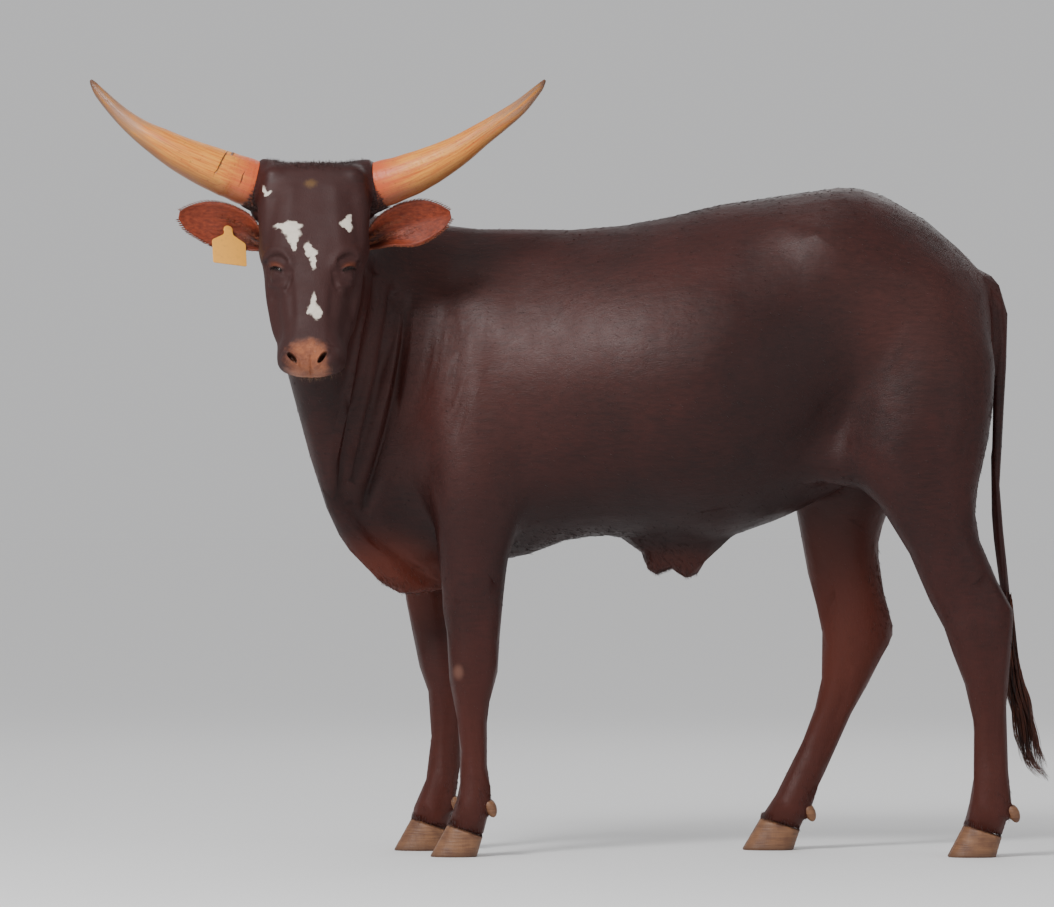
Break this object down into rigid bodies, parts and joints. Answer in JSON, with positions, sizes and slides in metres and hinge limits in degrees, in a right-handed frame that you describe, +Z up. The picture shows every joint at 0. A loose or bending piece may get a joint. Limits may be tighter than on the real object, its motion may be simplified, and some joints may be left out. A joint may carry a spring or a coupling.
{
  "type": "ankole watusi cattle",
  "caption": "Young long-horned humped-breed bovine standing side on with its head turned out over its left shoulder; life-size still with a slim switch tail and an ear tag.",
  "frame": {"origin": "centre of the bounding box on the ground the claws stand on", "axes": "+Z up; the animal faces -X and its left side faces -Y, where its face is turned; +X runs towards the tail"},
  "size_m": [1.9774, 0.7956, 1.5993],
  "materials": {
    "coat": "short glossy dark brown hair",
    "horn": "amber horn, satin",
    "claw": "tan hoof horn",
    "dewclaw": "tan hoof horn",
    "eye": "wet dark brown",
    "ear_skin": "rust brown skin with fine hair",
    "tail_hair": "long coarse hair",
    "tag_plastic": "yellow flexible plastic",
    "button_plastic": "cream plastic"
  },
  "bodies": {
    "root": {"claw_fore_left_inner": "claw", "claw_fore_left_outer": "claw", "claw_fore_right_inner": "claw", "claw_fore_right_outer": "claw", "claw_hind_left_inner": "claw", "claw_hind_left_outer": "claw", "claw_hind_right_inner": "claw", "claw_hind_right_outer": "claw", "dewclaw_fore_left_inner": "dewclaw", "dewclaw_fore_left_outer": "dewclaw", "dewclaw_fore_right_inner": "dewclaw", "dewclaw_fore_right_outer": "dewclaw", "dewclaw_hind_left_inner": "dewclaw", "dewclaw_hind_left_outer": "dewclaw", "dewclaw_hind_right_inner": "dewclaw", "dewclaw_hind_right_outer": "dewclaw", "ear_button": "button_plastic", "ear_left": "ear_skin", "ear_right": "ear_skin", "ear_tag": "tag_plastic", "eye_left": "eye", "eye_right": "eye", "foreleg_left": "coat", "foreleg_right": "coat", "head": "coat", "hindleg_left": "coat", "hindleg_right": "coat", "horn_left": "horn", "horn_right": "horn", "neck": "coat", "tail": "coat", "tail_switch": "tail_hair", "torso": "coat"}
  },
  "joints": []
}
